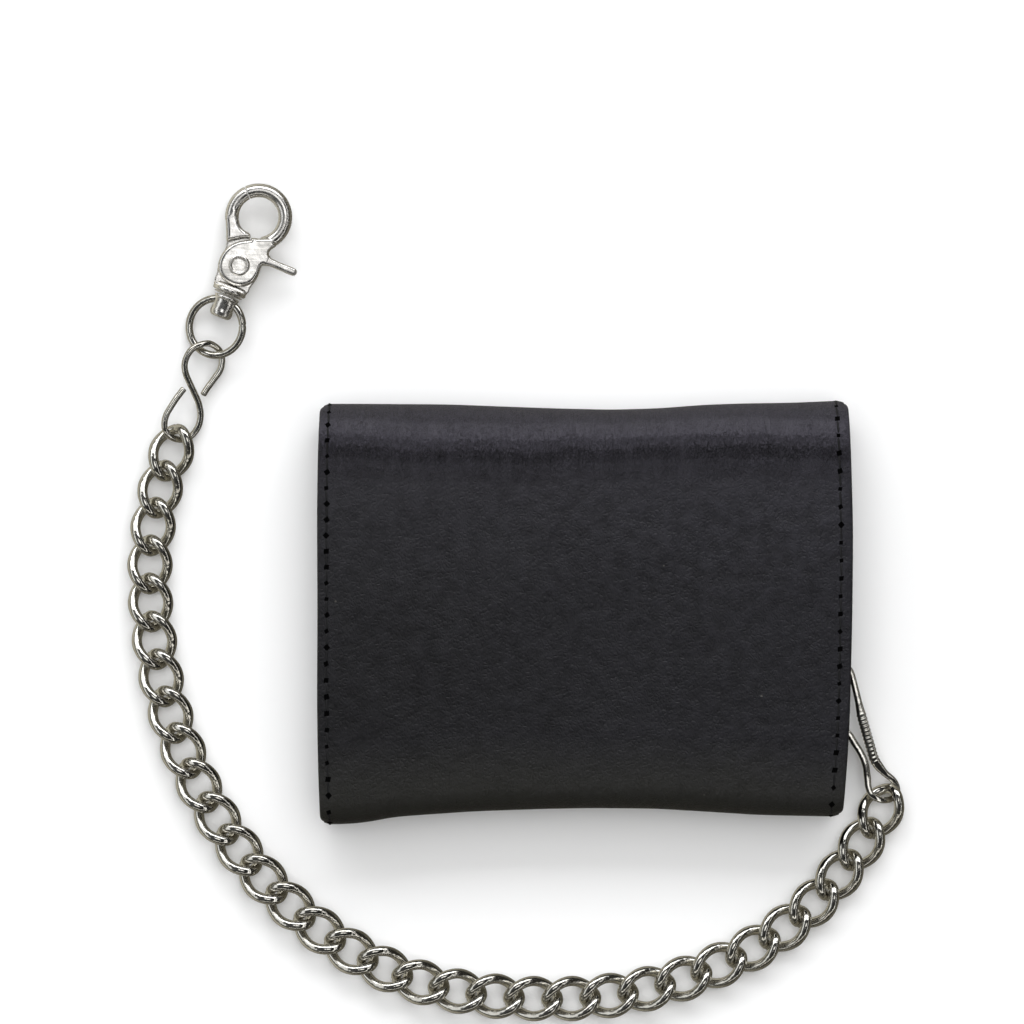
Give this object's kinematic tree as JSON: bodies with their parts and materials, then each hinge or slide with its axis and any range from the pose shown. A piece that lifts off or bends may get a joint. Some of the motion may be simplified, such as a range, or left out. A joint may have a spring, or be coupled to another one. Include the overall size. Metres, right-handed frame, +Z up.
{
  "type": "chain wallet",
  "caption": "Black leather trifold wallet, closed, with card pockets, an ID window and a curb chain that ends in a jump ring and a swivelling trigger snap.",
  "frame": {"origin": "on the table, under the middle of the closed wallet", "axes": "+Z up from the table; +X along the folds towards the edge with the chain's tab; +Y towards the outer fold, on the clip's side"},
  "size_m": [0.1585, 0.1709, 0.0148],
  "materials": {
    "black_leather": "soft semi-matt grain, black with worn grey folds",
    "pocket_leather": "smooth semi-matt black",
    "lining": "matt black lining cloth",
    "thread": "waxed black thread",
    "window_film": "clear flexible film",
    "nickel_steel": "polished nickel plate",
    "spring_steel": "drawn spring wire"
  },
  "bodies": {
    "front_flap": {"front_flap_leather": "black_leather", "front_flap_lining": "lining", "front_card_pockets": "pocket_leather", "front_flap_stitching": "thread", "outer_spine_leather": "black_leather", "outer_spine_lining": "lining", "chain_tab": "black_leather", "tab_stitching": "thread"},
    "centre_panel": {"centre_panel_leather": "black_leather", "centre_panel_lining": "lining", "id_window_frame": "pocket_leather", "id_window_film": "window_film", "centre_panel_stitching": "thread", "inner_flap_leather": "black_leather", "inner_flap_lining": "lining", "inner_card_pockets": "pocket_leather", "inner_flap_stitching": "thread", "inner_spine_leather": "black_leather", "inner_spine_lining": "lining"},
    "tab_link": {"tab_link": "nickel_steel"},
    "link_01": {"link_01": "nickel_steel"},
    "link_02": {"link_02": "nickel_steel"},
    "link_03": {"link_03": "nickel_steel"},
    "link_04": {"link_04": "nickel_steel"},
    "link_05": {"link_05": "nickel_steel"},
    "link_06": {"link_06": "nickel_steel"},
    "link_07": {"link_07": "nickel_steel"},
    "link_08": {"link_08": "nickel_steel"},
    "link_09": {"link_09": "nickel_steel"},
    "link_10": {"link_10": "nickel_steel"},
    "link_11": {"link_11": "nickel_steel"},
    "link_12": {"link_12": "nickel_steel"},
    "link_13": {"link_13": "nickel_steel"},
    "link_14": {"link_14": "nickel_steel"},
    "link_15": {"link_15": "nickel_steel"},
    "link_16": {"link_16": "nickel_steel"},
    "link_17": {"link_17": "nickel_steel"},
    "link_18": {"link_18": "nickel_steel"},
    "link_19": {"link_19": "nickel_steel"},
    "link_20": {"link_20": "nickel_steel"},
    "link_21": {"link_21": "nickel_steel"},
    "link_22": {"link_22": "nickel_steel"},
    "link_23": {"link_23": "nickel_steel"},
    "link_24": {"link_24": "nickel_steel"},
    "link_25": {"link_25": "nickel_steel"},
    "link_26": {"link_26": "nickel_steel"},
    "link_27": {"link_27": "nickel_steel"},
    "link_28": {"link_28": "nickel_steel"},
    "link_29": {"link_29": "nickel_steel"},
    "link_30": {"link_30": "nickel_steel"},
    "link_31": {"link_31": "nickel_steel"},
    "link_32": {"link_32": "nickel_steel"},
    "s_link": {"s_link": "nickel_steel"},
    "jump_ring": {"jump_ring": "nickel_steel"},
    "clip_eye": {"clip_eye": "nickel_steel", "clip_washer": "nickel_steel"},
    "clip_body": {"clip_body": "nickel_steel", "clip_rivet": "nickel_steel", "clip_spring": "spring_steel"},
    "clip_jaw": {"clip_jaw": "nickel_steel"}
  },
  "joints": [
    {"name": "fold_outer", "type": "hinge", "parent": "front_flap", "child": "centre_panel", "pos_m": [0, 0.0424, 0.0074], "axis": [-1, 0, 0], "range_deg": [0, 180], "deforming": ["outer_spine_leather", "outer_spine_lining"]},
    {"name": "clip_trigger", "type": "hinge", "parent": "clip_body", "child": "clip_jaw", "pos_m": [-0.0703, 0.0704, 0.0035], "axis": [0, 0, -1], "range_deg": [0, 35], "stiffness_Nm_per_rad": 0.01, "springref_deg": -28.65},
    {"name": "clip_swivel", "type": "hinge", "parent": "clip_eye", "child": "clip_body", "pos_m": [-0.07209, 0.06573, 0.0035], "axis": [0.3584, 0.9336, 0], "continuous": true},
    {"name": "tab_swing", "type": "hinge", "parent": "front_flap", "child": "tab_link", "pos_m": [0.0518, -0.0177, 0.0028], "axis": [0, 1, 0], "range_deg": [-30, 15]},
    {"name": "eye_swing", "type": "hinge", "parent": "jump_ring", "child": "clip_eye", "pos_m": [-0.07317, 0.06293, 0.0035], "axis": [0.9336, -0.3584, 0], "range_deg": [-60, 60]},
    {"name": "ring_swing", "type": "hinge", "parent": "s_link", "child": "jump_ring", "pos_m": [-0.07743, 0.0526, 0.00224], "axis": [0.863, -0.417, 0.2852], "range_deg": [-12, 60]},
    {"name": "s_link_swing", "type": "hinge", "parent": "link_32", "child": "s_link", "pos_m": [-0.08248, 0.03698, 0.0024], "axis": [-0.6653, 0.2395, -0.7071], "range_deg": [-45, 35]},
    {"name": "link_01_swing", "type": "hinge", "parent": "tab_link", "child": "link_01", "pos_m": [0.06293, -0.03651, 0.0024], "axis": [0.622, -0.3363, 0.7071], "range_deg": [-8, 40]},
    {"name": "link_02_swing", "type": "hinge", "parent": "link_01", "child": "link_02", "pos_m": [0.05807, -0.04549, 0.0024], "axis": [0.622, -0.3363, -0.7071], "range_deg": [-30, 30]},
    {"name": "link_03_swing", "type": "hinge", "parent": "link_02", "child": "link_03", "pos_m": [0.05521, -0.05, 0.0024], "axis": [-0.5557, 0.4373, -0.7071], "range_deg": [-30, 30]},
    {"name": "link_04_swing", "type": "hinge", "parent": "link_03", "child": "link_04", "pos_m": [0.0489, -0.05802, 0.0024], "axis": [-0.5557, 0.4373, 0.7071], "range_deg": [-30, 30]},
    {"name": "link_05_swing", "type": "hinge", "parent": "link_04", "child": "link_05", "pos_m": [0.04508, -0.06178, 0.0024], "axis": [0.4186, -0.5699, 0.7071], "range_deg": [-10, 30]},
    {"name": "link_06_swing", "type": "hinge", "parent": "link_05", "child": "link_06", "pos_m": [0.03686, -0.06782, 0.0024], "axis": [0.4186, -0.5699, -0.7071], "range_deg": [-30, 30]},
    {"name": "link_07_swing", "type": "hinge", "parent": "link_06", "child": "link_07", "pos_m": [0.03216, -0.07039, 0.0024], "axis": [-0.2808, 0.649, -0.7071], "range_deg": [-30, 30]},
    {"name": "link_08_swing", "type": "hinge", "parent": "link_07", "child": "link_08", "pos_m": [0.0228, -0.07445, 0.0024], "axis": [-0.2808, 0.649, 0.7071], "range_deg": [-30, 30]},
    {"name": "link_09_swing", "type": "hinge", "parent": "link_08", "child": "link_09", "pos_m": [0.01772, -0.07612, 0.0024], "axis": [0.1567, -0.6895, 0.7071], "range_deg": [-30, 30]},
    {"name": "link_10_swing", "type": "hinge", "parent": "link_09", "child": "link_10", "pos_m": [0.00777, -0.07838, 0.0024], "axis": [0.1567, -0.6895, -0.7071], "range_deg": [-30, 30]},
    {"name": "link_11_swing", "type": "hinge", "parent": "link_10", "child": "link_11", "pos_m": [0.00246, -0.07903, 0.0024], "axis": [-0.0234, 0.7067, -0.7071], "range_deg": [-30, 15]},
    {"name": "link_12_swing", "type": "hinge", "parent": "link_11", "child": "link_12", "pos_m": [-0.00773, -0.07937, 0.0024], "axis": [-0.0234, 0.7067, 0.7071], "range_deg": [-30, 30]},
    {"name": "link_13_swing", "type": "hinge", "parent": "link_12", "child": "link_13", "pos_m": [-0.01307, -0.07917, 0.0024], "axis": [-0.0665, -0.704, 0.7071], "range_deg": [-12, 30]},
    {"name": "link_14_swing", "type": "hinge", "parent": "link_13", "child": "link_14", "pos_m": [-0.02323, -0.07821, 0.0024], "axis": [-0.0665, -0.704, -0.7071], "range_deg": [-30, 30]},
    {"name": "link_15_swing", "type": "hinge", "parent": "link_14", "child": "link_15", "pos_m": [-0.02851, -0.07732, 0.0024], "axis": [0.2056, 0.6766, -0.7071], "range_deg": [-30, 20]},
    {"name": "link_16_swing", "type": "hinge", "parent": "link_15", "child": "link_16", "pos_m": [-0.03827, -0.07435, 0.0024], "axis": [0.2056, 0.6766, 0.7071], "range_deg": [-30, 30]},
    {"name": "link_17_swing", "type": "hinge", "parent": "link_16", "child": "link_17", "pos_m": [-0.04314, -0.07213, 0.0024], "axis": [-0.3631, -0.6067, 0.7071], "range_deg": [-20, 30]},
    {"name": "link_18_swing", "type": "hinge", "parent": "link_17", "child": "link_18", "pos_m": [-0.05189, -0.06689, 0.0024], "axis": [-0.3631, -0.6067, -0.7071], "range_deg": [-30, 30]},
    {"name": "link_19_swing", "type": "hinge", "parent": "link_18", "child": "link_19", "pos_m": [-0.05618, -0.06368, 0.0024], "axis": [0.4768, 0.5222, -0.7071], "range_deg": [-30, 30]},
    {"name": "link_20_swing", "type": "hinge", "parent": "link_19", "child": "link_20", "pos_m": [-0.06371, -0.05681, 0.0024], "axis": [0.4768, 0.5222, 0.7071], "range_deg": [-30, 30]},
    {"name": "link_21_swing", "type": "hinge", "parent": "link_20", "child": "link_21", "pos_m": [-0.06731, -0.05285, 0.0024], "axis": [-0.5632, -0.4275, 0.7071], "range_deg": [-30, 30]},
    {"name": "link_22_swing", "type": "hinge", "parent": "link_21", "child": "link_22", "pos_m": [-0.07347, -0.04472, 0.0024], "axis": [-0.5632, -0.4275, -0.7071], "range_deg": [-30, 30]},
    {"name": "link_23_swing", "type": "hinge", "parent": "link_22", "child": "link_23", "pos_m": [-0.07632, -0.04019, 0.0024], "axis": [0.63, 0.321, -0.7071], "range_deg": [-30, 30]},
    {"name": "link_24_swing", "type": "hinge", "parent": "link_23", "child": "link_24", "pos_m": [-0.08095, -0.0311, 0.0024], "axis": [0.63, 0.321, 0.7071], "range_deg": [-30, 30]},
    {"name": "link_25_swing", "type": "hinge", "parent": "link_24", "child": "link_25", "pos_m": [-0.08293, -0.02613, 0.0024], "axis": [-0.6776, -0.202, 0.7071], "range_deg": [-30, 30]},
    {"name": "link_26_swing", "type": "hinge", "parent": "link_25", "child": "link_26", "pos_m": [-0.08585, -0.01636, 0.0024], "axis": [-0.6776, -0.202, -0.7071], "range_deg": [-30, 30]},
    {"name": "link_27_swing", "type": "hinge", "parent": "link_26", "child": "link_27", "pos_m": [-0.08696, -0.01113, 0.0024], "axis": [0.7002, 0.0984, -0.7071], "range_deg": [-30, 30]},
    {"name": "link_28_swing", "type": "hinge", "parent": "link_27", "child": "link_28", "pos_m": [-0.08838, -0.00103, 0.0024], "axis": [0.7002, 0.0984, 0.7071], "range_deg": [-30, 30]},
    {"name": "link_29_swing", "type": "hinge", "parent": "link_28", "child": "link_29", "pos_m": [-0.08872, 0.00431, 0.0024], "axis": [-0.7068, 0.0222, 0.7071], "range_deg": [-30, 30]},
    {"name": "link_30_swing", "type": "hinge", "parent": "link_29", "child": "link_30", "pos_m": [-0.0884, 0.01451, 0.0024], "axis": [-0.7068, 0.0222, -0.7071], "range_deg": [-30, 30]},
    {"name": "link_31_swing", "type": "hinge", "parent": "link_30", "child": "link_31", "pos_m": [-0.08768, 0.01981, 0.0024], "axis": [0.6864, -0.1699, -0.7071], "range_deg": [-30, 30]},
    {"name": "link_32_swing", "type": "hinge", "parent": "link_31", "child": "link_32", "pos_m": [-0.08523, 0.02971, 0.0024], "axis": [0.6864, -0.1699, 0.7071], "range_deg": [-30, 30]}
  ]
}
